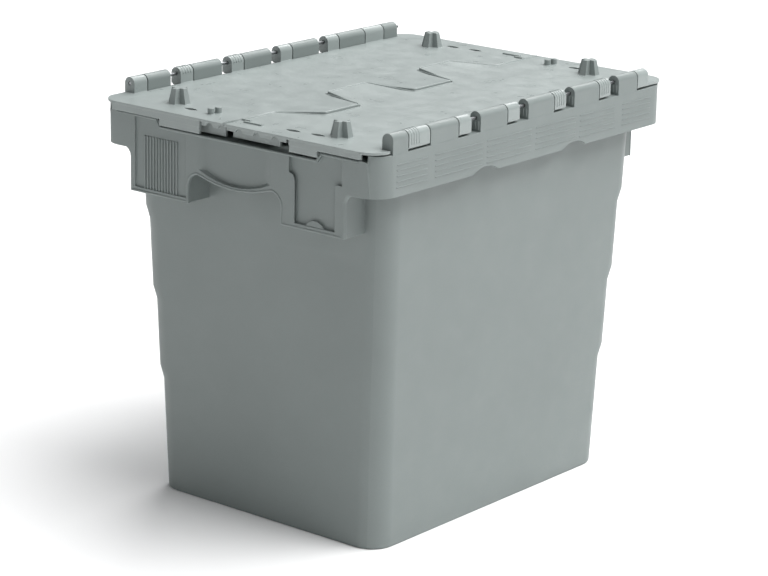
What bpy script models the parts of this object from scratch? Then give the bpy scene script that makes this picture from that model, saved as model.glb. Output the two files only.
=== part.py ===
"""Attached-lid container: a stepped tub, two interlocking lid halves and their hinge wires.

X runs across the box, Y along it and Z up. The origin is under the middle of the floor.
Each end of the box, and each lid half, is the other one turned half a turn about Z.
"""
import math

import bmesh
import bpy
from mathutils import Matrix, Vector

# Size of the rim, in metres
WIDTH = 0.299
LENGTH = 0.394
WALL = 0.0025
GAP = 0.0004
SMOOTH_ANGLE = 35

# Tub: four drafted zones, each set in from the one above by a short sloping step
WALL_RADIUS = 0.021
CORNER_TURNS = (0, 13, 27, 29, 40, 52, 65, 78, 90)
DECK_TURN = 28
TOP_INSET_X = 0.0120
TOP_INSET_Y = 0.0236
DRAFT = 0.031
STEP_COUNT = 3
STEP_TOP = 0.2515
STEP_PITCH = 0.0705
STEP_HEIGHT = 0.0120
STEP_INSET = 0.0023
FOOT_CHAMFER = 0.0015

# Rim: a flange with a band hanging from it, stepped down at each end
RIM_RADIUS = 0.0205
RIM_TOP = 0.3416
BAND_BOTTOM = 0.3075
DECK_TOP = 0.3370
DECK_DROP = 0.0062
LABEL_SIDE_STEP = (0.0855, 0.0815)
CARD_SIDE_STEP = (0.0915, 0.0868)
ARCH_RISE = 0.0050
ARCH_HALF_WIDTH = 0.0170
ARCH_OFFSET = 0.0610

# End apron: a label panel on one side, a card pocket on the other, a hand grip between
APRON = 0.0030
APRON_EDGE = 0.0024
PANEL_BOTTOM = 0.2715
PANEL_INNER = 0.0500
PANEL_OUTER = 0.1159
PANEL_FILLET = 0.0080
GRIP_FILLET = 0.0110
GRIP_BOTTOM = 0.2970
GRIP_SAG = 0.0066
GRIP_LIP = 0.0030
GRIP_HALF_WIDTH = 0.0430
GRIP_TAPER = 0.75
GRIP_RECESS = 0.0035
GRIP_BACKING = 0.0062
RIM_LIP = 0.0023
RECESS = 0.0015
PANEL_RECESS_BOTTOM = 0.2756
LABEL_RECESS = (0.0525, 0.1096)
LABEL_RIBS = 12
LABEL_RIB = 0.0014
LABEL_RIB_SPAN = (-0.0990, -0.0635)
LABEL_RIB_TOP = 0.3200
CARD_RECESS = (0.0581, 0.1126)
CARD_WINDOW = (0.0642, 0.1060)
CARD_RAIL_TOPS = (0.3165, 0.3137)
CARD_DEPTH = 0.0028
CARD_RAIL = 0.0010
CARD_TAB_HALF = 0.0095
CARD_TAB_HEIGHT = 0.0052
CARD_BACKING = 0.0055
LABEL_BACKING = 0.0043
WEB_SETBACK = 0.0003

# Hinge rows, for the row at +X
HINGE_X = 0.1439
HINGE_Z = 0.3525
KNUCKLE_RADIUS = 0.0055
WIRE_RADIUS = 0.0013
BORE_RADIUS = 0.0017
LEFT_WIRE = (-0.1670, 0.1870)
RIGHT_WIRE = (-0.1780, 0.1670)
UNIT_COUNT = 5
UNIT_START = -0.1333
UNIT_PITCH = 0.0642
BOX_KNUCKLE = 0.0353
LAST_BOX_KNUCKLE = 0.0274
LID_KNUCKLE = 0.0154
SLOT = 0.0012
FIRST_BOX_SPAN = (-0.1800, -0.1614)
WIDE_LID_SPAN = (-0.1602, -0.1345)

# Lid half at +X
LID_TOP = 0.3448
LID_THICKNESS = 0.0020
LID_HALF_LENGTH = 0.2000
LID_EDGE_X = 0.1380
LID_TAB_X = 0.1480
LID_UNDER = LID_TOP - LID_THICKNESS
SEAM_HALF = (
    (-0.0090, -LID_HALF_LENGTH),
    (-0.0080, -0.1400),
    (0.0290, -0.1180),
    (0.0290, -0.0735),
    (-0.0240, -0.0555),
    (-0.0245, -0.0030),
)
SEAM_RADIUS = 0.0045
TONGUE_ROOT = 0.0105
TONGUE_SLOPE = 0.050
TONGUE_SPAN = (-0.1000, 0.1300)
SKIRT = 0.0024
SKIRT_END = 0.1330
NEAR_SKIRT = (0.0600, 0.0890)
NEAR_SKIRT_BOTTOMS = (0.3333, 0.3385)
FAR_SKIRT = (0.0350, 0.0795)
FAR_SKIRT_BOTTOMS = (0.3322, 0.3376)
TAB_SETBACK = 0.0075
NEAR_TAB = (-0.0050, 0.0450)
FAR_TAB = (0.0130, 0.0400)
LIP_BOTTOM = 0.3400
NEAR_SCALLOPS = (0.0078, 0.0266, 0.0460)
FAR_SCALLOPS = (0.0110, 0.0240)
SCALLOP_RADIUS = 0.0042
LUG_X = 0.0872
LUG_Y = 0.1673
LUG_TOP = 0.3575
LUG_REACH = 0.0095
LUG_FIN = 0.0033
LUG_TAPER = 0.68
STUDS = ((0.0387, 0.1730), (0.0403, 0.1801))
STUD_RADIUS = 0.0029
STUD_HEIGHT = 0.0048
BARS = ((-0.0070, 0.0020, -0.1790), (0.0000, 0.0190, -0.1845))
BAR_HEIGHT = 0.0012
SEAL_SLOTS = ((0.0471, -0.1795), (0.0712, -0.1775), (0.0643, 0.1785))
SEAL_SLOT_LENGTH = 0.0152
SEAL_SLOT_WIDTH = 0.0055
LID_RIB_BOTTOM = 0.3370
LID_RIB_SPAN = (0.0400, 0.1270)
LID_RIB_PLACES = (-0.150, -0.105, -0.040, 0.040, 0.095, 0.150)
LID_RIB = 0.0020

HALF_TURN = Matrix.Rotation(math.pi, 4, "Z")
UPRIGHT_X = Matrix.Rotation(math.pi / 2, 4, "X")
UPRIGHT_Y = Matrix(((0, 0, 1, 0), (1, 0, 0, 0), (0, 1, 0, 0), (0, 0, 0, 1)))


def clear_scene():
    for item in list(bpy.data.objects):
        bpy.data.objects.remove(item, do_unlink=True)


def new_collection(name):
    collection = bpy.data.collections.new(name)
    bpy.context.scene.collection.children.link(collection)
    return collection


def new_material(name, colour, roughness, metallic):
    material = bpy.data.materials.new(name)
    material.use_nodes = True
    shader = material.node_tree.nodes["Principled BSDF"]
    shader.inputs["Base Color"].default_value = (*colour, 1.0)
    shader.inputs["Roughness"].default_value = roughness
    shader.inputs["Metallic"].default_value = metallic
    return material


def object_from(bm, name, collection):
    """Turn a bmesh into a linked object and free the bmesh."""
    bmesh.ops.recalc_face_normals(bm, faces=bm.faces)
    mesh = bpy.data.meshes.new(name)
    bm.to_mesh(mesh)
    bm.free()
    item = bpy.data.objects.new(name, mesh)
    collection.objects.link(item)
    return item


def helper_from(bm, name, collection):
    """An object that only adds to or cuts another one."""
    item = object_from(bm, name, collection)
    item.display_type = "WIRE"
    item.hide_render = True
    return item


def combine(target, operation, helper):
    boolean = target.modifiers.new(helper.name, "BOOLEAN")
    boolean.operation = operation
    boolean.solver = "EXACT"
    boolean.object = helper


def apply_modifiers(item):
    """Replace an object's mesh by its evaluated one."""
    bpy.context.view_layer.update()
    evaluated = item.evaluated_get(bpy.context.evaluated_depsgraph_get())
    mesh = bpy.data.meshes.new_from_object(evaluated)
    item.modifiers.clear()
    item.data = mesh
    mesh.name = item.name


def shade_by_angle(item, degrees):
    """Smooth the rounded faces and keep the corners crisp."""
    bm = bmesh.new()
    bm.from_mesh(item.data)
    for face in bm.faces:
        face.smooth = True
    for edge in bm.edges:
        edge.smooth = len(edge.link_faces) == 2 and edge.calc_face_angle() < math.radians(degrees)
    bm.to_mesh(item.data)
    bm.free()


def add_box(bm, x_span, y_span, z_span):
    size = Vector((x_span[1] - x_span[0], y_span[1] - y_span[0], z_span[1] - z_span[0]))
    middle = Vector((sum(x_span), sum(y_span), sum(z_span))) / 2
    place = Matrix.Translation(middle) @ Matrix.Diagonal((*size, 1.0))
    bmesh.ops.create_cube(bm, size=1.0, matrix=place)


def add_cylinder(bm, radius, length, middle, axis, segments):
    turn = {"X": Matrix.Rotation(math.pi / 2, 4, "Y"), "Y": UPRIGHT_X, "Z": Matrix.Identity(4)}[axis]
    bmesh.ops.create_cone(
        bm,
        cap_ends=True,
        segments=segments,
        radius1=radius,
        radius2=radius,
        depth=length,
        matrix=Matrix.Translation(middle) @ turn,
    )


def add_outline(bm, points, thickness, place):
    """Add a flat closed outline, thickened evenly to both sides of its plane."""
    curve = bpy.data.curves.new("outline", "CURVE")
    curve.dimensions = "2D"
    curve.fill_mode = "BOTH"
    curve.extrude = thickness / 2
    spline = curve.splines.new("POLY")
    spline.points.add(len(points) - 1)
    for point, (across, along) in zip(spline.points, points):
        point.co = (across, along, 0.0, 1.0)
    spline.use_cyclic_u = True
    item = bpy.data.objects.new("outline", curve)
    bpy.context.scene.collection.objects.link(item)
    bpy.context.view_layer.update()
    evaluated = item.evaluated_get(bpy.context.evaluated_depsgraph_get())
    mesh = bpy.data.meshes.new_from_object(evaluated)
    piece = bmesh.new()
    piece.from_mesh(mesh)
    bmesh.ops.remove_doubles(piece, verts=piece.verts, dist=1e-6)
    bmesh.ops.dissolve_limit(piece, angle_limit=0.001, verts=piece.verts, edges=piece.edges)
    bmesh.ops.transform(piece, matrix=place, verts=piece.verts)
    piece.to_mesh(mesh)
    piece.free()
    known = set(bm.verts)
    bm.from_mesh(mesh)
    bpy.data.meshes.remove(mesh)
    bpy.data.objects.remove(item)
    bpy.data.curves.remove(curve)
    return [vert for vert in bm.verts if vert not in known]


def add_outline_across(bm, points, y_span):
    """An outline drawn in X and Z, thickened along Y."""
    place = Matrix.Translation((0.0, sum(y_span) / 2, 0.0)) @ UPRIGHT_X
    return add_outline(bm, points, y_span[1] - y_span[0], place)


def add_outline_along(bm, points, x_span):
    """An outline drawn in Y and Z, thickened along X."""
    place = Matrix.Translation((sum(x_span) / 2, 0.0, 0.0)) @ UPRIGHT_Y
    return add_outline(bm, points, x_span[1] - x_span[0], place)


def repeat_half_turn(bm):
    """Copy everything in the bmesh half a turn about Z."""
    copy = bmesh.ops.duplicate(bm, geom=bm.verts[:] + bm.edges[:] + bm.faces[:])
    verts = [part for part in copy["geom"] if isinstance(part, bmesh.types.BMVert)]
    bmesh.ops.transform(bm, matrix=HALF_TURN, verts=verts)


def arc(centre, radius, start, stop, steps):
    """Points on an arc, with the angles in degrees."""
    points = []
    for step in range(steps + 1):
        angle = math.radians(start + (stop - start) * step / steps)
        points.append((centre[0] + radius * math.cos(angle), centre[1] + radius * math.sin(angle)))
    return points


def rim_ring(half_x, half_y, radius):
    """A rounded rectangle whose points also say how far the rim dips below its top there."""
    points = []
    for corner, (side_x, side_y) in enumerate(((1, 1), (-1, 1), (-1, -1), (1, -1))):
        centre_x = side_x * (half_x - radius)
        centre_y = side_y * (half_y - radius)
        turns = CORNER_TURNS if corner % 2 else reversed(CORNER_TURNS)
        for turn in turns:
            angle = math.radians(turn)
            x = centre_x + side_x * radius * math.sin(angle)
            y = centre_y + side_y * radius * math.cos(angle)
            points.append((x, y, RIM_TOP - DECK_TOP if turn < DECK_TURN else 0.0))
        if corner % 2 == 0:
            high, low = LABEL_SIDE_STEP
            points.append((side_x * high, side_y * half_y, RIM_TOP - DECK_TOP))
            points.append((side_x * low, side_y * half_y, RIM_TOP - DECK_TOP + DECK_DROP))
            high, low = CARD_SIDE_STEP
            points.append((-side_x * low, side_y * half_y, RIM_TOP - DECK_TOP + DECK_DROP))
            points.append((-side_x * high, side_y * half_y, RIM_TOP - DECK_TOP))
    return points


def end_rim_top(across):
    """Height of the rim along the middle of an end and beside it."""
    if abs(across) < LABEL_SIDE_STEP[1]:
        return DECK_TOP - DECK_DROP
    return DECK_TOP


def wall_levels():
    """Height and extra inset of the outer wall, from the flange down to the foot."""
    levels = [(RIM_TOP - WALL, 0.0)]
    for step in range(STEP_COUNT):
        height, inset = levels[-1]
        step_top = STEP_TOP - STEP_PITCH * step
        inset += DRAFT * (height - step_top)
        levels.append((step_top, inset))
        levels.append((step_top - STEP_HEIGHT, inset + STEP_INSET))
    height, inset = levels[-1]
    inset += DRAFT * (height - FOOT_CHAMFER)
    levels.append((FOOT_CHAMFER, inset))
    levels.append((0.0, inset + FOOT_CHAMFER / 2))
    return levels


def wall_inset(height):
    """Extra inset of the outer wall at a height."""
    levels = wall_levels()
    for (high, high_inset), (low, low_inset) in zip(levels, levels[1:]):
        if low <= height <= high:
            share = (high - height) / (high - low)
            return high_inset + share * (low_inset - high_inset)
    return 0.0


def end_wall(across, height):
    """Distance from the middle to the outer face of the end wall."""
    inset = wall_inset(height)
    reach = LENGTH / 2 - TOP_INSET_Y - inset
    into_corner = abs(across) - (WIDTH / 2 - TOP_INSET_X - inset - WALL_RADIUS)
    if into_corner <= 0:
        return reach
    return reach - WALL_RADIUS + math.sqrt(WALL_RADIUS ** 2 - into_corner ** 2)


def side_wall(height):
    """Distance from the middle to the outer face of the long wall."""
    return WIDTH / 2 - TOP_INSET_X - wall_inset(height)


def box_knuckle_spans():
    spans = [FIRST_BOX_SPAN]
    for unit in range(UNIT_COUNT):
        start = UNIT_START + UNIT_PITCH * unit
        length = BOX_KNUCKLE if unit < UNIT_COUNT - 1 else LAST_BOX_KNUCKLE
        spans.append((start, start + length))
    return spans


def lid_knuckle_spans():
    spans = [WIDE_LID_SPAN]
    for start, stop in box_knuckle_spans()[1:]:
        spans.append((stop + SLOT, stop + SLOT + LID_KNUCKLE))
    return spans


def tombstone(bottom):
    """Outline of a knuckle: upright sides under a round top."""
    right = HINGE_X + KNUCKLE_RADIUS
    left = HINGE_X - KNUCKLE_RADIUS
    top = arc((HINGE_X, HINGE_Z), KNUCKLE_RADIUS, 0, 180, 10)
    return [(left, bottom), (right, bottom)] + top


def make_tub_shell(collection):
    """Loft the tub from its floor up the stepped wall, out under the flange and down the band."""
    bm = bmesh.new()
    rings = []
    for height, inset in reversed(wall_levels()):
        half_x = WIDTH / 2 - TOP_INSET_X - inset
        half_y = LENGTH / 2 - TOP_INSET_Y - inset
        ring = rim_ring(half_x, half_y, WALL_RADIUS)
        rings.append([bm.verts.new((x, y, height)) for x, y, dip in ring])
    for vert, (x, y, dip) in zip(rings[-1], ring):
        vert.co.z -= dip
    band = rim_ring(WIDTH / 2 - WALL, LENGTH / 2 - WALL, RIM_RADIUS - WALL)
    rings.append([bm.verts.new((x, y, RIM_TOP - WALL - dip)) for x, y, dip in band])
    rings.append([bm.verts.new((x, y, BAND_BOTTOM)) for x, y, dip in band])

    bm.faces.new(list(reversed(rings[0])))
    count = len(rings[0])
    for low, high in zip(rings, rings[1:]):
        for here in range(count):
            after = (here + 1) % count
            bm.faces.new((low[here], low[after], high[after], high[here]))
    mesh = bpy.data.meshes.new("container_body")
    bm.to_mesh(mesh)
    bm.free()
    body = bpy.data.objects.new("container_body", mesh)
    collection.objects.link(body)
    solidify = body.modifiers.new("wall", "SOLIDIFY")
    solidify.thickness = WALL
    solidify.offset = -1.0
    solidify.use_even_offset = True
    apply_modifiers(body)
    flatten_band(body)
    return body


def flatten_band(body):
    """Bring the points that the even wall pushed out at the rim steps back onto the band."""
    for vert in body.data.vertices:
        vert.co.x = max(-WIDTH / 2, min(WIDTH / 2, vert.co.x))
        vert.co.y = max(-LENGTH / 2, min(LENGTH / 2, vert.co.y))


def grip_arc(inset, half_width, steps):
    """The bowed lower edge of the hand grip, from left to right, lifted by inset."""
    chord = PANEL_INNER - GRIP_FILLET
    radius = (chord ** 2 + GRIP_SAG ** 2) / (2 * GRIP_SAG)
    centre = (0.0, GRIP_BOTTOM - GRIP_SAG + radius)
    reach = math.degrees(math.asin(half_width / (radius - inset)))
    return arc(centre, radius - inset, 270 - reach, 270 + reach, steps)


def apron_outline():
    """Front view of an end apron: two panels with the bowed grip between them."""
    fillet_x = PANEL_OUTER + PANEL_FILLET
    fillet_z = BAND_BOTTOM - PANEL_FILLET
    grip_x = PANEL_INNER - GRIP_FILLET
    right = arc((grip_x, GRIP_BOTTOM - GRIP_FILLET), GRIP_FILLET, 90, 0, 5)[1:]
    right += [(PANEL_INNER, PANEL_BOTTOM), (PANEL_OUTER, PANEL_BOTTOM)]
    right += arc((fillet_x, fillet_z), PANEL_FILLET, 180, 90, 4)
    right.append((fillet_x, BAND_BOTTOM + PANEL_FILLET))
    return mirrored(right) + grip_arc(0.0, grip_x, 12) + right


def stepped_outline(x_span, bottom, below_rim, step):
    """A panel at +X whose top edge stays a little below the rim and follows its step."""
    left, right = x_span
    high, low = step
    high_top = DECK_TOP - below_rim
    low_top = high_top - DECK_DROP
    points = [(left, bottom), (right, bottom), (right, high_top)]
    return points + [(high, high_top), (low, low_top), (left, low_top)]


def mirrored(points):
    return [(-x, z) for x, z in reversed(points)]


def add_gusset(bm, x_span, bottom, top):
    """An upright web from the apron back to the end wall."""
    across = max(abs(x_span[0]), abs(x_span[1]))
    front = -LENGTH / 2 + APRON / 2
    low = -end_wall(across, bottom) + WALL / 2
    high = -end_wall(across, top) + WALL / 2
    add_outline_along(bm, [(front, bottom), (low, bottom), (high, top), (front, top)], x_span)


def round_apron_sides(aprons):
    """Round the outer front edges of the panels and of the fillets above them."""
    edges = []
    for edge in aprons.edges:
        ends = [vert.co for vert in edge.verts]
        on_front = all(end.y < -LENGTH / 2 + GAP for end in ends)
        on_side = all(abs(end.x) > PANEL_OUTER - GAP and end.z < BAND_BOTTOM + GAP for end in ends)
        if on_front and on_side:
            edges.append(edge)
    bmesh.ops.bevel(aprons, geom=edges, offset=APRON_EDGE, segments=3, profile=0.5, affect="EDGES")


def add_end_parts(body, helpers):
    aprons = bmesh.new()
    add_outline_across(aprons, apron_outline(), (-LENGTH / 2, -LENGTH / 2 + APRON))
    round_apron_sides(aprons)
    repeat_half_turn(aprons)
    combine(body, "UNION", helper_from(aprons, "end_aprons", helpers))

    webs = bmesh.new()
    bottom = PANEL_BOTTOM + WEB_SETBACK
    for side in (-1, 1):
        for edge, inward in ((PANEL_INNER, 1), (PANEL_OUTER, -1)):
            outer = edge + inward * WEB_SETBACK
            ends = sorted((side * outer, side * (outer + inward * WALL)))
            add_gusset(webs, ends, bottom, end_rim_top(edge) - WALL / 2)
    repeat_half_turn(webs)
    combine(body, "UNION", helper_from(webs, "end_webs", helpers))

    backing = bmesh.new()
    front = -LENGTH / 2
    x_span = (PANEL_INNER + WALL / 2, PANEL_OUTER - WALL / 2)
    bottom = PANEL_BOTTOM + WALL / 2
    below_rim = 0.7 * WALL
    card = stepped_outline(x_span, bottom, below_rim, CARD_SIDE_STEP)
    label = mirrored(stepped_outline(x_span, bottom, below_rim, LABEL_SIDE_STEP))
    grip_x = PANEL_INNER - GRIP_FILLET
    grip_top = end_rim_top(0.0) - below_rim
    grip = grip_arc(GAP, grip_x, 8) + [(grip_x, grip_top), (-grip_x, grip_top)]
    for outline, depth in ((card, CARD_BACKING), (label, LABEL_BACKING), (grip, GRIP_BACKING)):
        add_outline_across(backing, outline, (front + APRON / 2, front + depth))
    repeat_half_turn(backing)
    combine(body, "UNION", helper_from(backing, "panel_backings", helpers))


def add_hinge_rows(body, helpers):
    knuckles = bmesh.new()
    for span in box_knuckle_spans():
        add_outline_across(knuckles, tombstone(RIM_TOP - WALL / 2), span)
    repeat_half_turn(knuckles)
    combine(body, "UNION", helper_from(knuckles, "box_knuckles", helpers))

    ribs = bmesh.new()
    low = BAND_BOTTOM + 0.004
    high = RIM_TOP - WALL / 2
    outer = WIDTH / 2 - WALL / 2
    web = [(side_wall(low) - WALL / 2, low), (outer, low)]
    web += [(outer, high), (side_wall(high) - WALL / 2, high)]
    for start, stop in box_knuckle_spans():
        add_outline_across(ribs, web, (start, start + WALL))
    repeat_half_turn(ribs)
    combine(body, "UNION", helper_from(ribs, "gutter_ribs", helpers))


def cut_bores(item, name, helpers):
    """Bores for the hinge wires, the right one closed at its near end."""
    bores = bmesh.new()
    for side, start in ((-1, -LENGTH / 2), (1, RIGHT_WIRE[0] - GAP)):
        middle = (side * HINGE_X, (start + LENGTH / 2) / 2, HINGE_Z)
        add_cylinder(bores, BORE_RADIUS, LENGTH / 2 - start, middle, "Y", 12)
    combine(item, "DIFFERENCE", helper_from(bores, name, helpers))


def card_recess_outline():
    """Opening of the card pocket, narrower below where the rails hold the card."""
    left, right = CARD_RECESS
    rail_left, rail_right = CARD_WINDOW
    left_top, right_top = CARD_RAIL_TOPS
    high, low = CARD_SIDE_STEP
    high_top = DECK_TOP - RIM_LIP
    low_top = high_top - DECK_DROP
    hook = rail_left - left
    points = [(rail_left, PANEL_RECESS_BOTTOM), (rail_right, PANEL_RECESS_BOTTOM)]
    points += [(rail_right, right_top), (right, right_top), (right, high_top)]
    points += [(high, high_top), (low, low_top), (left, low_top)]
    points += [(left, left_top), (rail_left - hook / 3, left_top - hook / 4)]
    points.append((rail_left, left_top - hook))
    return points


def cut_ends(body, helpers):
    front = -LENGTH / 2
    outside = front - WALL
    recesses = bmesh.new()
    grip_top = end_rim_top(0.0) - RIM_LIP
    grip = grip_arc(GRIP_LIP, GRIP_HALF_WIDTH, 8)
    grip += [(GRIP_HALF_WIDTH, grip_top), (-GRIP_HALF_WIDTH, grip_top)]
    for vert in add_outline_across(recesses, grip, (outside, front + GRIP_RECESS)):
        if vert.co.y > front:
            vert.co.x *= GRIP_TAPER
    label = stepped_outline(LABEL_RECESS, PANEL_RECESS_BOTTOM, RIM_LIP, LABEL_SIDE_STEP)
    add_outline_across(recesses, mirrored(label), (outside, front + RECESS))
    add_outline_across(recesses, card_recess_outline(), (outside, front + CARD_DEPTH))
    repeat_half_turn(recesses)
    combine(body, "DIFFERENCE", helper_from(recesses, "end_recesses", helpers))

    slots = bmesh.new()
    slot_z = (PANEL_RECESS_BOTTOM + RECESS, max(CARD_RAIL_TOPS) + RECESS)
    add_box(slots, CARD_RECESS, (front + CARD_RAIL, front + CARD_DEPTH - CARD_RAIL / 5), slot_z)
    repeat_half_turn(slots)
    combine(body, "DIFFERENCE", helper_from(slots, "card_slots", helpers))


def add_panel_details(body, helpers):
    front = -LENGTH / 2
    details = bmesh.new()
    left, right = LABEL_RIB_SPAN
    pitch = (right - left) / (LABEL_RIBS - 1)
    for rib in range(LABEL_RIBS):
        middle = left + pitch * rib
        rib_x = (middle - LABEL_RIB / 2, middle + LABEL_RIB / 2)
        rib_y = (front + RECESS / 3, front + 2 * RECESS)
        add_box(details, rib_x, rib_y, (PANEL_RECESS_BOTTOM - RECESS, LABEL_RIB_TOP))
    radius = (CARD_TAB_HALF ** 2 + CARD_TAB_HEIGHT ** 2) / (2 * CARD_TAB_HEIGHT)
    reach = math.degrees(math.asin(CARD_TAB_HALF / radius))
    centre = (sum(CARD_WINDOW) / 2, PANEL_RECESS_BOTTOM + CARD_TAB_HEIGHT - radius)
    tab = arc(centre, radius, 90 - reach, 90 + reach, 8)
    tab += [(x, PANEL_RECESS_BOTTOM - RECESS) for x, z in (tab[-1], tab[0])]
    add_outline_across(details, tab, (front + RECESS / 3, front + CARD_DEPTH + RECESS))
    repeat_half_turn(details)
    combine(body, "UNION", helper_from(details, "panel_details", helpers))


def cut_arches(body, helpers):
    """Two shallow arches in the lower edge of each long band."""
    arches = bmesh.new()
    radius = (ARCH_HALF_WIDTH ** 2 + ARCH_RISE ** 2) / (2 * ARCH_RISE)
    reach = math.degrees(math.asin(ARCH_HALF_WIDTH / radius))
    for side in (-1, 1):
        centre = (side * ARCH_OFFSET, BAND_BOTTOM + ARCH_RISE - radius)
        points = arc(centre, radius, 90 - reach, 90 + reach, 10)
        points += [(points[-1][0], BAND_BOTTOM - WALL), (points[0][0], BAND_BOTTOM - WALL)]
        add_outline_along(arches, points, (WIDTH / 2 - 2 * WALL, WIDTH / 2 + WALL))
    repeat_half_turn(arches)
    combine(body, "DIFFERENCE", helper_from(arches, "band_arches", helpers))


def make_body(collection, helpers):
    body = make_tub_shell(collection)
    add_end_parts(body, helpers)
    add_hinge_rows(body, helpers)
    cut_ends(body, helpers)
    add_panel_details(body, helpers)
    cut_arches(body, helpers)
    cut_bores(body, "box_bores", helpers)
    apply_modifiers(body)
    return body


def offset_path(points, distance):
    """Shift an open path sideways, to its right-hand side when distance is positive."""
    path = [Vector(point) for point in points]
    directions = [(end - start).normalized() for start, end in zip(path, path[1:])]
    directions = [directions[0], *directions, directions[-1]]
    shifted = []
    for point, before, after in zip(path, directions, directions[1:]):
        across = (before + after).normalized()
        across = Vector((across.y, -across.x))
        reach = distance / across.dot(Vector((before.y, -before.x)))
        shifted.append(tuple(point + across * reach))
    return shifted


def round_corners(points, radius, steps):
    """Round the inner corners of an open path."""
    path = [Vector(point) for point in points]
    rounded = [path[0]]
    for before, corner, after in zip(path, path[1:], path[2:]):
        to_before = (before - corner).normalized()
        to_after = (after - corner).normalized()
        half_angle = to_before.angle(to_after) / 2
        reach = radius / math.tan(half_angle)
        start = corner + to_before * reach
        stop = corner + to_after * reach
        for step in range(steps + 1):
            share = step / steps
            blend = start.lerp(corner, share).lerp(corner.lerp(stop, share), share)
            rounded.append(blend)
    return rounded + [path[-1]]


def seam_path():
    """The zigzag between the lid halves, from the near end to the far end."""
    far_half = [(-x, -y) for x, y in reversed(SEAM_HALF)]
    return round_corners(list(SEAM_HALF) + far_half, SEAM_RADIUS, 3)


def lid_outline():
    """Plan of the lid half at +X, counterclockwise from the near end of the seam."""
    radius = RIM_RADIUS - 2 * GAP
    corner_x = WIDTH / 2 - RIM_RADIUS
    corner_y = LID_HALF_LENGTH - radius
    edge = arc((corner_x, -corner_y), radius, 270, 342, 5)
    notch_y = FIRST_BOX_SPAN[0] - SLOT
    edge = [point for point in edge if point[1] < notch_y]
    edge += [(edge[-1][0], notch_y), (LID_EDGE_X, notch_y)]
    for start, stop in lid_knuckle_spans()[:-1]:
        edge += [(LID_EDGE_X, start), (LID_TAB_X, start), (LID_TAB_X, stop), (LID_EDGE_X, stop)]
    last_start = lid_knuckle_spans()[-1][0]
    edge += [(LID_EDGE_X, last_start), (LID_TAB_X, last_start)]
    edge += arc((corner_x, corner_y), radius, 14, 90, 5)
    seam = offset_path(seam_path(), GAP)
    return edge + list(reversed(seam))


def make_lid_plate(collection):
    plate = bmesh.new()
    place = Matrix.Translation((0.0, 0.0, LID_TOP - LID_THICKNESS / 2))
    add_outline(plate, lid_outline(), LID_THICKNESS, place)
    bend_tongues(plate)
    return object_from(plate, "lid_right", collection)


def bend_tongues(plate):
    """The top of each tongue rises to its tip, so that it shows above the other half."""
    everything = plate.verts[:] + plate.edges[:] + plate.faces[:]
    root = (TONGUE_ROOT, 0.0, 0.0)
    bmesh.ops.bisect_plane(plate, geom=everything, plane_co=root, plane_no=(1.0, 0.0, 0.0))
    low, high = TONGUE_SPAN
    for vert in plate.verts:
        on_tongue = vert.co.x < TONGUE_ROOT and low < vert.co.y < high
        if on_tongue and vert.co.z > LID_TOP - GAP:
            vert.co.z += TONGUE_SLOPE * (TONGUE_ROOT - vert.co.x)


def add_lid_knuckles(lid, helpers):
    knuckles = bmesh.new()
    for span in lid_knuckle_spans():
        add_outline_across(knuckles, tombstone(LID_UNDER + LID_THICKNESS / 2), span)
    combine(lid, "UNION", helper_from(knuckles, "lid_knuckles", helpers))


def add_skirts(lid, helpers):
    """Skirts, set-back tabs and the thin scalloped lip along both ends of the lid half."""
    shallow = bmesh.new()
    deep = bmesh.new()
    inside = LID_UNDER + LID_THICKNESS / 2
    ends = (
        (-1, NEAR_SKIRT, NEAR_SKIRT_BOTTOMS, NEAR_TAB),
        (1, FAR_SKIRT, FAR_SKIRT_BOTTOMS, FAR_TAB),
    )
    for side, (start, deep_end), (deep_bottom, bottom), tab in ends:
        outer_y = side * (LID_HALF_LENGTH - GAP / 2)
        skirt_y = sorted((outer_y, outer_y - side * SKIRT))
        tab_y = [y - side * TAB_SETBACK for y in skirt_y]
        lip_start = min(tab) - GAP if side < 0 else min(tab)
        add_box(shallow, (start, SKIRT_END), skirt_y, (bottom, inside))
        add_box(shallow, (lip_start, start - SKIRT), skirt_y, (LIP_BOTTOM, inside))
        add_box(shallow, tab, tab_y, (deep_bottom, inside))
        deep_y = [y - side * GAP / 4 for y in skirt_y]
        add_box(deep, (start + GAP, deep_end), deep_y, (deep_bottom, inside - GAP))
    combine(lid, "UNION", helper_from(shallow, "lid_skirts", helpers))
    combine(lid, "UNION", helper_from(deep, "lid_deep_skirts", helpers))

    scallops = bmesh.new()
    for side, places in ((-1, NEAR_SCALLOPS), (1, FAR_SCALLOPS)):
        for x in places:
            middle = (x, side * LID_HALF_LENGTH, LIP_BOTTOM - SCALLOP_RADIUS / 4)
            add_cylinder(scallops, SCALLOP_RADIUS, 4 * SKIRT, middle, "Y", 14)
    combine(lid, "DIFFERENCE", helper_from(scallops, "lid_scallops", helpers))


def add_lid_ribs(lid, helpers):
    ribs = bmesh.new()
    z_span = (LID_RIB_BOTTOM, LID_TOP - LID_RIB / 2)
    for y in LID_RIB_PLACES:
        add_box(ribs, LID_RIB_SPAN, (y - LID_RIB / 2, y + LID_RIB / 2), z_span)
    combine(lid, "UNION", helper_from(ribs, "lid_ribs", helpers))


def plus_outline(reach, half_fin):
    quarter = [(reach, -half_fin), (reach, half_fin), (half_fin, half_fin)]
    points = []
    for turn in range(4):
        for x, y in quarter:
            rotated = Matrix.Rotation(math.pi / 2 * turn, 2) @ Vector((x, y))
            points.append(tuple(rotated))
    return points


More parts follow.
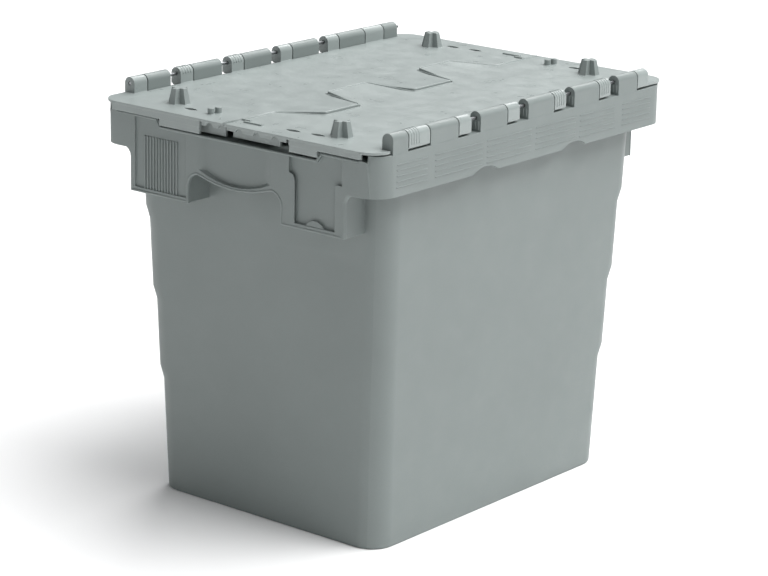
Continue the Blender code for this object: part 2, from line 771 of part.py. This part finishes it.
def add_lid_top(lid, helpers):
    """Stacking lugs, studs and the pair of raised bars."""
    low = bmesh.new()
    inside = LID_TOP - LID_THICKNESS / 2
    for x, y in STUDS:
        top = LID_TOP + STUD_HEIGHT
        add_cylinder(low, STUD_RADIUS, top - inside, (x, y, (top + inside) / 2), "Z", 12)
    for start, stop, y in BARS:
        bar_y = (y - BAR_HEIGHT, y + BAR_HEIGHT)
        add_box(low, (start, stop), bar_y, (inside, LID_TOP + BAR_HEIGHT))
    combine(lid, "UNION", helper_from(low, "lid_studs", helpers))

    lugs = bmesh.new()
    for y in (-LUG_Y, LUG_Y):
        bottom = inside + GAP
        place = Matrix.Translation((LUG_X, y, (LUG_TOP + bottom) / 2))
        lug = add_outline(lugs, plus_outline(LUG_REACH, LUG_FIN), LUG_TOP - bottom, place)
        for vert in lug:
            if vert.co.z > LID_TOP:
                vert.co.x = LUG_X + (vert.co.x - LUG_X) * LUG_TAPER
                vert.co.y = y + (vert.co.y - y) * LUG_TAPER
    combine(lid, "UNION", helper_from(lugs, "stacking_lugs", helpers))


def cut_seal_slots(lid, helpers):
    """Lens-shaped holes for a seal or a cable tie."""
    slots = bmesh.new()
    half_length = SEAL_SLOT_LENGTH / 2
    half_width = SEAL_SLOT_WIDTH / 2
    radius = (half_length ** 2 + half_width ** 2) / (2 * half_width)
    reach = math.degrees(math.asin(half_length / radius))
    lens = arc((0.0, half_width - radius), radius, 90 - reach, 90 + reach, 6)[:-1]
    lens += arc((0.0, radius - half_width), radius, 270 - reach, 270 + reach, 6)[:-1]
    for x, y in SEAL_SLOTS:
        add_outline(slots, lens, 4 * LID_THICKNESS, Matrix.Translation((x, y, LID_TOP)))
    combine(lid, "DIFFERENCE", helper_from(slots, "seal_slots", helpers))


def make_right_lid(collection, helpers):
    lid = make_lid_plate(collection)
    add_skirts(lid, helpers)
    add_lid_ribs(lid, helpers)
    add_lid_knuckles(lid, helpers)
    add_lid_top(lid, helpers)
    cut_seal_slots(lid, helpers)
    cut_bores(lid, "lid_bores", helpers)
    apply_modifiers(lid)
    lid.data.transform(Matrix.Translation((-HINGE_X, 0.0, -HINGE_Z)))
    lid.location = (HINGE_X, 0.0, HINGE_Z)
    return lid


def make_left_lid(right_lid, collection):
    """The same moulding turned half a turn, with its origin on its own hinge."""
    lid = bpy.data.objects.new("lid_left", right_lid.data.copy())
    lid.data.name = "lid_left"
    lid.location = (-HINGE_X, 0.0, HINGE_Z)
    lid.rotation_euler.z = math.pi
    collection.objects.link(lid)
    return lid


def make_wire(name, side, span, collection):
    bm = bmesh.new()
    add_cylinder(bm, WIRE_RADIUS, span[1] - span[0], (0.0, sum(span) / 2, 0.0), "Y", 12)
    wire = object_from(bm, name, collection)
    wire.location = (side * HINGE_X, 0.0, HINGE_Z)
    return wire


def main():
    clear_scene()
    parts = new_collection("attached_lid_container")
    helpers = new_collection("construction_helpers")
    body = make_body(parts, helpers)
    lid_right = make_right_lid(parts, helpers)
    lid_left = make_left_lid(lid_right, parts)
    wires = [
        make_wire("hinge_wire_left", -1, LEFT_WIRE, parts),
        make_wire("hinge_wire_right", 1, RIGHT_WIRE, parts),
    ]

    body.data.materials.append(new_material("body_grey", (0.19, 0.22, 0.215), 0.5, 0.0))
    lid_grey = new_material("lid_grey", (0.24, 0.27, 0.265), 0.5, 0.0)
    steel = new_material("galvanised_steel", (0.55, 0.56, 0.57), 0.35, 1.0)
    for lid in (lid_right, lid_left):
        lid.data.materials.append(lid_grey)
    for wire in wires:
        wire.data.materials.append(steel)
    for item in (body, lid_right, lid_left, *wires):
        shade_by_angle(item, SMOOTH_ANGLE)


main()
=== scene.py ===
"""Looks for the attached-lid container: plastics, steel, moulded detail, floor, light and camera."""
import math

import bmesh
import bpy
from mathutils import Euler, Matrix, Vector


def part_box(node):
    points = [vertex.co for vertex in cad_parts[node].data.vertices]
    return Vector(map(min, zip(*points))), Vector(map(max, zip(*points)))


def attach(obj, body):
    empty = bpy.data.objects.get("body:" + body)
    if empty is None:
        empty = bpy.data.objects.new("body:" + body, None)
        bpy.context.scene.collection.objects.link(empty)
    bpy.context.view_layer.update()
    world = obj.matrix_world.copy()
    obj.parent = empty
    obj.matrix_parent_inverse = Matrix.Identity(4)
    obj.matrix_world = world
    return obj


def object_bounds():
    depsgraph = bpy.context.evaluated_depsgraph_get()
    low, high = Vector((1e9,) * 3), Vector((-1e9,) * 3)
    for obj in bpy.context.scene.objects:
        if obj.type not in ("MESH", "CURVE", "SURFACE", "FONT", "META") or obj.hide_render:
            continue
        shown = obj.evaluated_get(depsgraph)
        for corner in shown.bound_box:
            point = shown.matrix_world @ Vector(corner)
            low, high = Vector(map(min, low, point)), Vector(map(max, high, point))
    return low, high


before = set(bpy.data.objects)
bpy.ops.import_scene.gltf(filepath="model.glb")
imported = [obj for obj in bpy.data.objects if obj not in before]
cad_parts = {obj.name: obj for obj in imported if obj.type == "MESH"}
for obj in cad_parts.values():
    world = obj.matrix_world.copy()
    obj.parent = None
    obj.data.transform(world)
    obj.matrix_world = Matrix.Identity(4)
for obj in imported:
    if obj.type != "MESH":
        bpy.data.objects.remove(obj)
CAD_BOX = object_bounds()

# Camera, in degrees, metres and millimetres of lens
AZIMUTH = 38.93
ELEVATION = 16.06
ROLL = 1.17
DISTANCE = 2.4757
LENS = 134.4
SENSOR_WIDTH = 36.0
AIM = Vector((0.0006, -0.0036, 0.1690))
CLIP_END = 50.0

# Studio: the world, then each area light's name, place, aim, size and power, then the floor
WORLD_COLOUR = (0.96, 0.98, 1.0, 1.0)
WORLD_STRENGTH = 0.20
LIGHTS = (
    ("key", (2.2, 1.0, 5.0), (0.0, 0.0, 0.2), 4.5, 480.0),
    ("back", (-1.5, 4.0, 4.0), (-0.8, 2.0, 0.0), 3.0, 150.0),
    ("fill", (-1.4, -3.0, 0.7), (-0.2, -0.2, 0.0), 2.0, 8.0),
)
FLOOR_SIZE = 6.0
FLOOR_DROP = 0.0002
FLOOR_WHITE = (0.93, 0.93, 0.93, 1.0)
FLOOR_ROUGHNESS = 0.9

# Colours, linear. The body and lid greys are shaded and lit copies of one plastic: the lid grey is
# made lighter to paint in the light on the lid tops, and the body grey darker to paint in the shade on
# its walls.
SHADED_BODY_GREY = (0.198, 0.227, 0.221)
LIT_LID_GREY = (0.279, 0.314, 0.307)
STEEL_GREY = (0.30, 0.31, 0.32)

# Roughness of the smoothest and of the roughest patches
BODY_ROUGHNESS = (0.40, 0.56)
LID_ROUGHNESS = (0.26, 0.42)
STEEL_ROUGHNESS = (0.32, 0.58)

# Grains of the surfaces: noise scales per metre, and widths of the paler edges (partly wear, partly a
# painted highlight) and of the rounded edges
FLOW_SCALE = 9.0
CLOUD_SCALE = 55.0
GRAIN_SCALE = 1500.0
SCUFF_STRETCH = (30.0, 30.0, 420.0)
WEAR_AND_HIGHLIGHT_WIDTH = 0.0012
EDGE_ROUNDING = 0.0007
BEVEL_SAMPLES = 6
WEAR_AND_HIGHLIGHT_COSINE = 0.86
ZINC_SCALE = 320.0
DRAWING_STRETCH = (2600.0, 25.0, 2600.0)

# Shading of the faceted rounds
SMOOTH_ANGLE = 35.0
MERGE_DISTANCE = 0.00001

# Faces of the body, from the frame
BODY_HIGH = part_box("container_body")[1]
END_Y = -BODY_HIGH[1]
SIDE_X = BODY_HIGH[0]

# Moulded detail of the two ends and the two sides repeats by a half turn
HALF_TURN = Matrix.Rotation(math.pi, 3, "Z")

# Hinge lines and the top of the lids
HINGE_X = 0.1439
HINGE_Z = 0.3525
LID_TOP = 0.3448

# Moulded beads along the edges of the ends
BEAD_RADIUS = 0.0011
BEAD_SINK = 0.0005
RIM_EDGE = ((0.1290, 0.3359), (0.0855, 0.3359), (0.0815, 0.3297))
CARD_RIM_EDGE = ((0.0868, 0.3297), (0.0915, 0.3359), (0.1290, 0.3359))
PANEL_BOTTOM = 0.2715
PANEL_INNER = 0.0500
PANEL_OUTER = 0.1159
GRIP_CHORD = 0.0390
GRIP_EDGE_Z = 0.2970
GRIP_SAG = 0.0066
BOW_STEPS = 16
FILLET_START = 84
FILLET_STEPS = 7

# Small bars moulded onto flat faces
RIB_ROUNDING = 0.0003
RIB_SEGMENTS = 2

# Low ribs on the long bands
BAND_RIB_GROUPS = (
    (-0.175, -0.137),
    (-0.127, -0.066),
    (-0.060, 0.000),
    (0.006, 0.062),
    (0.068, 0.118),
    (0.130, 0.172),
)
BAND_RIB_HEIGHTS = (0.3150, 0.3195, 0.3240, 0.3285, 0.3330)
BAND_RIB_WIDTH = 0.0011
BAND_RIB_SINK = 0.0006
BAND_RIB_RISE = 0.0004

# Upright ribs on the near faces of the box knuckles that stand free
FREE_BOX_KNUCKLES = (-0.0691, -0.0049, 0.0593, 0.1235)
UPRIGHT_RIB_SHIFTS = (-0.0032, 0.0, 0.0032)
UPRIGHT_RIB_HALF = 0.0006
UPRIGHT_RIB_RISE = 0.0006
UPRIGHT_RIB_SINK = 0.0004
UPRIGHT_RIB_BOTTOM = BODY_HIGH[2] - 0.0145
UPRIGHT_RIB_TOP = HINGE_Z - 0.0022

# Curved ribs over the lid knuckles
KNUCKLE_RADIUS = 0.0055
WIDE_LID_KNUCKLE = -0.1602
RIBBED_LID_KNUCKLES = (0.0316, 0.0958)
LID_KNUCKLE_LENGTH = 0.0154
LID_RIB_SHARES = (0.2, 0.4, 0.6, 0.8)
LID_RIB_RADIUS = 0.0005
LID_RIB_SINK = 0.0001
LID_RIB_ARC = KNUCKLE_RADIUS - LID_RIB_SINK
LID_RIB_FOOT = LID_TOP + 0.0012
LID_RIB_STEPS = 12

# Zigzag between the lid halves, across and along places from its near end to the middle
SEAM_HALF = (
    (-0.0090, -0.1990),
    (-0.0080, -0.1400),
    (0.0290, -0.1180),
    (0.0290, -0.0735),
    (-0.0240, -0.0555),
    (-0.0245, -0.0030),
)
SEAM_RADIUS = 0.0045
SEAM_CORNER_POINTS = 4
SEAM_GAP = 0.0004
SEAM_BEAD = 0.0006
TONGUE_ROOT = 0.0105
TONGUE_SLOPE = 0.050
TONGUE_SPAN = (-0.1000, 0.1300)


def link(item):
    bpy.context.scene.collection.objects.link(item)
    return item


def mesh_object(name, bm):
    mesh = bpy.data.meshes.new(name)
    bm.to_mesh(mesh)
    bm.free()
    return link(bpy.data.objects.new(name, mesh))


# ---------------------------------------------------------------- camera, floor and light


def add_camera():
    data = bpy.data.cameras.new("camera")
    data.lens = LENS
    data.sensor_width = SENSOR_WIDTH
    data.clip_end = CLIP_END
    camera = link(bpy.data.objects.new("camera", data))
    tilt = math.radians(90.0 - ELEVATION)
    turn = Euler((tilt, 0.0, math.radians(AZIMUTH)), "XYZ").to_matrix()
    turn = turn @ Matrix.Rotation(math.radians(ROLL), 3, "Z")
    back = turn @ Vector((0.0, 0.0, 1.0))
    camera.matrix_world = Matrix.Translation(AIM + back * DISTANCE) @ turn.to_4x4()
    bpy.context.scene.camera = camera


def add_area_light(name, place, aim, size, power):
    data = bpy.data.lights.new(name, "AREA")
    data.shape = "SQUARE"
    data.size = size
    data.energy = power
    light = link(bpy.data.objects.new(name, data))
    light.location = place
    light.rotation_euler = (Vector(aim) - Vector(place)).to_track_quat("-Z", "Y").to_euler()


def add_world():
    world = bpy.data.worlds.new("studio")
    world.use_nodes = True
    background = world.node_tree.nodes["Background"]
    background.inputs["Color"].default_value = WORLD_COLOUR
    background.inputs["Strength"].default_value = WORLD_STRENGTH
    bpy.context.scene.world = world


def add_floor():
    bm = bmesh.new()
    bmesh.ops.create_grid(bm, x_segments=1, y_segments=1, size=FLOOR_SIZE)
    floor = mesh_object("floor", bm)
    floor.location.z = CAD_BOX[0][2] - FLOOR_DROP
    material = bpy.data.materials.new("floor_white")
    material.use_nodes = True
    shader = material.node_tree.nodes["Principled BSDF"]
    shader.inputs["Base Color"].default_value = FLOOR_WHITE
    shader.inputs["Roughness"].default_value = FLOOR_ROUGHNESS
    floor.data.materials.append(material)


# ---------------------------------------------------------------- materials


class Nodes:
    """Adds shader nodes to one material, with constants or links for their inputs."""

    def __init__(self, name):
        self.material = bpy.data.materials.new(name)
        self.material.use_nodes = True
        self.tree = self.material.node_tree
        self.shader = self.tree.nodes["Principled BSDF"]

    def add(self, kind, settings=None, **inputs):
        node = self.tree.nodes.new(kind)
        for key, value in (settings or {}).items():
            setattr(node, key, value)
        for key, value in inputs.items():
            self.set(node, key.replace("_", " "), value)
        return node

    def set(self, node, socket, value):
        if isinstance(value, bpy.types.NodeSocket):
            self.tree.links.new(value, node.inputs[socket])
        else:
            node.inputs[socket].default_value = value

    def noise(self, place, scale, detail):
        node = self.add("ShaderNodeTexNoise", Vector=place, Scale=scale, Detail=detail)
        return node.outputs["Fac"]

    def span(self, value, start, stop, low, high):
        """Map a value from one range to another, clamped."""
        node = self.add("ShaderNodeMapRange")
        for socket, item in zip(node.inputs, (value, start, stop, low, high)):
            self.set(node, socket.name, item)
        return node.outputs["Result"]

    def mix(self, share, first, second):
        node = self.add("ShaderNodeMixRGB", Fac=share)
        self.set(node, "Color1", first)
        self.set(node, "Color2", second)
        return node.outputs["Color"]

    def edge_mask(self, radius):
        """0 on flat faces, rising to 1 on outer and inner edges."""
        bevel = self.add("ShaderNodeBevel", {"samples": BEVEL_SAMPLES}, Radius=radius)
        flat = self.add("ShaderNodeNewGeometry").outputs["Normal"]
        dot = self.add("ShaderNodeVectorMath", {"operation": "DOT_PRODUCT"})
        self.tree.links.new(bevel.outputs["Normal"], dot.inputs[0])
        self.tree.links.new(flat, dot.inputs[1])
        return self.span(dot.outputs["Value"], 1.0, WEAR_AND_HIGHLIGHT_COSINE, 0.0, 1.0)


def tinted(colour, factor):
    """The colour made lighter or darker, with full alpha."""
    return (*[min(1.0, part * factor) for part in colour], 1.0)


def moulded_plastic(name, colour, roughness):
    """Grey polypropylene: flow marks, pale clouds, a fine grain, light scuffs, and paler edges that
    are partly wear and partly a painted highlight.
    """
    nodes = Nodes(name)
    place = nodes.add("ShaderNodeTexCoord").outputs["Object"]
    marks = nodes.noise(place, FLOW_SCALE, 3.0)
    cloud = nodes.noise(place, CLOUD_SCALE, 4.0)
    grain = nodes.noise(place, GRAIN_SCALE, 2.0)
    stretched = nodes.add("ShaderNodeMapping", Vector=place, Scale=SCUFF_STRETCH)
    streaks = nodes.noise(stretched.outputs["Vector"], 1.0, 5.0)
    scuffs = nodes.span(streaks, 0.64, 0.80, 0.0, 1.0)
    wear_and_highlight_edge = nodes.edge_mask(WEAR_AND_HIGHLIGHT_WIDTH)

    flow = nodes.span(marks, 0.35, 0.65, 0.0, 1.0)
    base = nodes.mix(flow, tinted(colour, 0.97), tinted(colour, 1.03))
    base = nodes.mix(nodes.span(cloud, 0.45, 0.75, 0.0, 0.2), base, tinted(colour, 1.12))
    base = nodes.mix(nodes.span(grain, 0.35, 0.65, 0.0, 0.25), base, tinted(colour, 0.85))
    # Paler outer and inner edges: partly wear, partly a painted highlight along the edges
    base = nodes.mix(nodes.span(wear_and_highlight_edge, 0.0, 1.0, 0.0, 0.5), base, tinted(colour, 1.4))
    nodes.set(nodes.shader, "Base Color", base)

    nodes.set(nodes.shader, "Roughness", nodes.span(cloud, 0.3, 0.7, *roughness))

    bevel = nodes.add("ShaderNodeBevel", {"samples": BEVEL_SAMPLES}, Radius=EDGE_ROUNDING)
    fine = nodes.add("ShaderNodeBump", Height=grain, Strength=0.06, Distance=0.0002)
    nodes.set(fine, "Normal", bevel.outputs["Normal"])
    waves = nodes.add("ShaderNodeBump", Height=marks, Strength=0.12, Distance=0.0008)
    nodes.set(waves, "Normal", fine.outputs["Normal"])
    dents = nodes.add("ShaderNodeBump", {"invert": True}, Height=scuffs, Strength=0.03)
    nodes.set(dents, "Distance", 0.0001)
    nodes.set(dents, "Normal", waves.outputs["Normal"])
    nodes.set(nodes.shader, "Normal", dents.outputs["Normal"])
    return nodes.material


def drawn_steel(name):
    """Galvanised wire: drawing lines along it and duller zinc patches."""
    nodes = Nodes(name)
    place = nodes.add("ShaderNodeTexCoord").outputs["Object"]
    stretched = nodes.add("ShaderNodeMapping", Vector=place, Scale=DRAWING_STRETCH)
    lines = nodes.noise(stretched.outputs["Vector"], 1.0, 2.0)
    patches = nodes.noise(place, ZINC_SCALE, 3.0)
    dull = nodes.span(patches, 0.4, 0.65, 0.0, 1.0)
    base = nodes.mix(dull, tinted(STEEL_GREY, 1.15), tinted(STEEL_GREY, 0.72))
    nodes.set(nodes.shader, "Base Color", base)
    nodes.set(nodes.shader, "Metallic", 1.0)
    nodes.set(nodes.shader, "Roughness", nodes.span(patches, 0.35, 0.7, *STEEL_ROUGHNESS))
    bump = nodes.add("ShaderNodeBump", Height=lines, Strength=0.2, Distance=0.0001)
    nodes.set(nodes.shader, "Normal", bump.outputs["Normal"])
    return nodes.material


def smooth_by_angle(degrees):
    """Node group that shades the faceted rounds smooth and keeps the corners crisp."""
    group = bpy.data.node_groups.new("smooth_by_angle", "GeometryNodeTree")
    group.interface.new_socket("Geometry", in_out="INPUT", socket_type="NodeSocketGeometry")
    group.interface.new_socket("Geometry", in_out="OUTPUT", socket_type="NodeSocketGeometry")
    nodes, links = group.nodes, group.links
    start = nodes.new("NodeGroupInput")
    merge = nodes.new("GeometryNodeMergeByDistance")
    merge.inputs["Distance"].default_value = MERGE_DISTANCE
    clear = nodes.new("GeometryNodeRemoveAttribute")
    clear.inputs["Name"].default_value = "custom_normal"
    faces = nodes.new("GeometryNodeSetShadeSmooth")
    edges = nodes.new("GeometryNodeSetShadeSmooth")
    edges.domain = "EDGE"
    angle = nodes.new("GeometryNodeInputMeshEdgeAngle")
    compare = nodes.new("FunctionNodeCompare")
    compare.operation = "LESS_THAN"
    compare.inputs["B"].default_value = math.radians(degrees)
    finish = nodes.new("NodeGroupOutput")
    links.new(start.outputs["Geometry"], merge.inputs["Geometry"])
    links.new(merge.outputs["Geometry"], clear.inputs["Geometry"])
    links.new(clear.outputs["Geometry"], faces.inputs["Geometry"])
    links.new(faces.outputs["Geometry"], edges.inputs["Geometry"])
    links.new(angle.outputs["Unsigned Angle"], compare.inputs["A"])
    links.new(compare.outputs["Result"], edges.inputs["Shade Smooth"])
    links.new(edges.outputs["Geometry"], finish.inputs["Geometry"])
    return group


def smooth_frame():
    """Give every CAD node the smoothing, with the large faces ruling the normals."""
    group = smooth_by_angle(SMOOTH_ANGLE)
    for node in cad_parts.values():
        modifier = node.modifiers.new("smooth", "NODES")
        modifier.node_group = group
        weighted = node.modifiers.new("weighted", "WEIGHTED_NORMAL")
        weighted.keep_sharp = True


def dress(names, material):
    """Give CAD nodes a material in place of their plain one."""
    for name in names:
        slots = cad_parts[name].data.materials
        slots.clear()
        slots.append(material)


# ---------------------------------------------------------------- moulded detail


def arc(centre, radius, start, stop, steps):
    """Points of an arc between two angles in degrees."""
    points = []
    for step in range(steps + 1):
        angle = math.radians(start + (stop - start) * step / steps)
        points.append((centre[0] + radius * math.cos(angle), centre[1] + radius * math.sin(angle)))
    return points


def sweep(bm, path, radius, flat=Vector((0.0, 1.0, 0.0)), sides=10):
    """A round bead along a path that lies square to the flat direction, closed at both ends."""
    rings = []
    for index, point in enumerate(path):
        before = path[max(index - 1, 0)]
        after = path[min(index + 1, len(path) - 1)]
        along = (after - before).normalized()
        across = along.cross(flat).normalized()
        up = along.cross(across)
        ring = []
        for side in range(sides):
            angle = 2.0 * math.pi * side / sides
            spoke = math.cos(angle) * across + math.sin(angle) * up
            ring.append(bm.verts.new(point + radius * spoke))
        rings.append(ring)
    for low, high in zip(rings, rings[1:]):
        for side in range(sides):
            turned = (side + 1) % sides
            bm.faces.new((low[side], low[turned], high[turned], high[side]))
    bm.faces.new(list(reversed(rings[0])))
    bm.faces.new(rings[-1])


def add_rib(bm, low, high):
    """A bar with rounded edges between two opposite corners."""
    rib = bmesh.new()
    size = Vector(high) - Vector(low)
    middle = (Vector(high) + Vector(low)) / 2
    place = Matrix.Translation(middle) @ Matrix.Diagonal((*size, 1.0))
    bmesh.ops.create_cube(rib, size=1.0, matrix=place)
    bmesh.ops.bevel(
        rib,
        geom=rib.edges[:],
        offset=RIB_ROUNDING,
        segments=RIB_SEGMENTS,
        profile=0.5,
        affect="EDGES",
    )
    mesh = bpy.data.meshes.new("rib")
    rib.to_mesh(mesh)
    rib.free()
    bm.from_mesh(mesh)
    bpy.data.meshes.remove(mesh)


def add_half_turn_copy(bm):
    copy = bmesh.ops.duplicate(bm, geom=bm.verts[:] + bm.edges[:] + bm.faces[:])
    verts = [part for part in copy["geom"] if isinstance(part, bmesh.types.BMVert)]
    bmesh.ops.rotate(bm, verts=verts, matrix=HALF_TURN)


def place_detail(name, bm, material, body):
    """Finish a smooth-shaded piece that rides on a body and takes a material slot's finish."""
    bmesh.ops.recalc_face_normals(bm, faces=bm.faces)
    item = mesh_object(name, bm)
    item.data.materials.append(material)
    for face in item.data.polygons:
        face.use_smooth = True
    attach(item, body)


def end_path(points):
    """Across and up places on the near end's flat front."""
    y = END_Y + BEAD_SINK
    return [Vector((x, y, z)) for x, z in points]


def grip_edge_points():
    """The bowed lower edge of the hand grip, with the fillets down to the panels."""
    radius = (GRIP_CHORD ** 2 + GRIP_SAG ** 2) / (2 * GRIP_SAG)
    reach = math.degrees(math.asin(GRIP_CHORD / radius))
    centre = (0.0, GRIP_EDGE_Z - GRIP_SAG + radius)
    bow = arc(centre, radius - BEAD_RADIUS, 270 - reach, 270 + reach, BOW_STEPS)
    fillet = PANEL_INNER - GRIP_CHORD
    centre = (GRIP_CHORD, GRIP_EDGE_Z - fillet)
    right = arc(centre, fillet + BEAD_RADIUS, FILLET_START, 0, FILLET_STEPS)
    left = [(-x, z) for x, z in reversed(right)]
    return left + bow[1:-1] + right


def add_end_beads(plastic):
    """Rounded beads along the rim's front edge, the panels' lower edges and the grip."""
    bm = bmesh.new()
    rim = [(-x, z) for x, z in RIM_EDGE] + list(CARD_RIM_EDGE)
    sweep(bm, end_path(rim), BEAD_RADIUS)
    low = PANEL_BOTTOM + BEAD_RADIUS
    inner = PANEL_INNER + BEAD_RADIUS
    outer = PANEL_OUTER - 3 * BEAD_RADIUS
    edge = [(-outer, low), (-inner, low)] + grip_edge_points() + [(inner, low), (outer, low)]
    sweep(bm, end_path(edge), BEAD_RADIUS)
    add_half_turn_copy(bm)
    place_detail("end_beads", bm, plastic, "container")


def add_band_ribs(plastic):
    """Groups of fine horizontal ribs on both long bands."""
    bm = bmesh.new()
    for start, stop in BAND_RIB_GROUPS:
        for height in BAND_RIB_HEIGHTS:
            low = (SIDE_X - BAND_RIB_SINK, start, height - BAND_RIB_WIDTH / 2)
            high = (SIDE_X + BAND_RIB_RISE, stop, height + BAND_RIB_WIDTH / 2)
            add_rib(bm, low, high)
    add_half_turn_copy(bm)
    place_detail("band_ribs", bm, plastic, "container")


def add_knuckle_ribs(plastic):
    """Upright ribs on the near face of each box knuckle that stands free."""
    bm = bmesh.new()
    for start in FREE_BOX_KNUCKLES:
        for shift in UPRIGHT_RIB_SHIFTS:
            x = HINGE_X + shift
            low = (x - UPRIGHT_RIB_HALF, start - UPRIGHT_RIB_RISE, UPRIGHT_RIB_BOTTOM)
            high = (x + UPRIGHT_RIB_HALF, start + UPRIGHT_RIB_SINK, UPRIGHT_RIB_TOP)
            add_rib(bm, low, high)
    add_half_turn_copy(bm)
    place_detail("knuckle_ribs", bm, plastic, "container")


def add_lid_knuckle_ribs(plastic, name, turned, starts):
    """Curved ribs over the tops of some lid knuckles."""
    bm = bmesh.new()
    profile = [(HINGE_X + LID_RIB_ARC, LID_RIB_FOOT)]
    profile += arc((HINGE_X, HINGE_Z), LID_RIB_ARC, 0, 180, LID_RIB_STEPS)
    for start in starts:
        for share in LID_RIB_SHARES:
            y = start + LID_KNUCKLE_LENGTH * share
            sweep(bm, [Vector((x, y, z)) for x, z in profile], LID_RIB_RADIUS, sides=8)
    if turned:
        bmesh.ops.rotate(bm, verts=bm.verts, matrix=HALF_TURN)
    place_detail(name + "_knuckle_ribs", bm, plastic, name)


def seam_path():
    """The zigzag with rounded corners, from the near end to the far end."""
    far_half = [(-x, -y) for x, y in reversed(SEAM_HALF)]
    path = [Vector(point) for point in list(SEAM_HALF) + far_half]
    rounded = [path[0]]
    for before, corner, after in zip(path, path[1:], path[2:]):
        to_before = (before - corner).normalized()
        to_after = (after - corner).normalized()
        reach = SEAM_RADIUS / math.tan(to_before.angle(to_after) / 2)
        start = corner + to_before * reach
        stop = corner + to_after * reach
        for step in range(SEAM_CORNER_POINTS):
            share = step / (SEAM_CORNER_POINTS - 1)
            rounded.append(start.lerp(corner, share).lerp(corner.lerp(stop, share), share))
    return rounded + [path[-1]]


def lid_height(x, y):
    """Height of the right lid half's top, whose tongues rise to their tips."""
    if x < TONGUE_ROOT and TONGUE_SPAN[0] < y < TONGUE_SPAN[1]:
        return LID_TOP + TONGUE_SLOPE * (TONGUE_ROOT - x)
    return LID_TOP


def add_seam_bead(plastic, name, turned):
    """A fine raised edge along the zigzag of a lid half."""
    path = seam_path()
    bead = []
    for index, point in enumerate(path):
        along = path[min(index + 1, len(path) - 1)] - path[max(index - 1, 0)]
        across = Vector((along.y, -along.x)).normalized()
        place = point + across * (SEAM_GAP + SEAM_BEAD)
        bead.append(Vector((place.x, place.y, lid_height(place.x, place.y))))
    bm = bmesh.new()
    sweep(bm, bead, SEAM_BEAD, Vector((0.0, 0.0, 1.0)), 8)
    if turned:
        bmesh.ops.rotate(bm, verts=bm.verts, matrix=HALF_TURN)
    place_detail(name + "_seam_bead", bm, plastic, name)


add_camera()
add_world()
for light in LIGHTS:
    add_area_light(*light)
add_floor()
smooth_frame()
# The body takes the darker grey, painted shade; the lids take the lighter grey, painted light on their
# tops
body_plastic = moulded_plastic("body_plastic", SHADED_BODY_GREY, BODY_ROUGHNESS)
lid_plastic = moulded_plastic("lid_plastic", LIT_LID_GREY, LID_ROUGHNESS)
dress(["container_body"], body_plastic)
dress(["lid_left", "lid_right"], lid_plastic)
dress(["hinge_wire_left", "hinge_wire_right"], drawn_steel("steel_wire"))
add_end_beads(body_plastic)
add_band_ribs(body_plastic)
add_knuckle_ribs(body_plastic)
add_lid_knuckle_ribs(lid_plastic, "lid_right", False, (WIDE_LID_KNUCKLE, *RIBBED_LID_KNUCKLES))
add_lid_knuckle_ribs(lid_plastic, "lid_left", True, RIBBED_LID_KNUCKLES)
add_seam_bead(lid_plastic, "lid_right", False)
add_seam_bead(lid_plastic, "lid_left", True)

bpy.context.scene.view_settings.view_transform = "Standard"
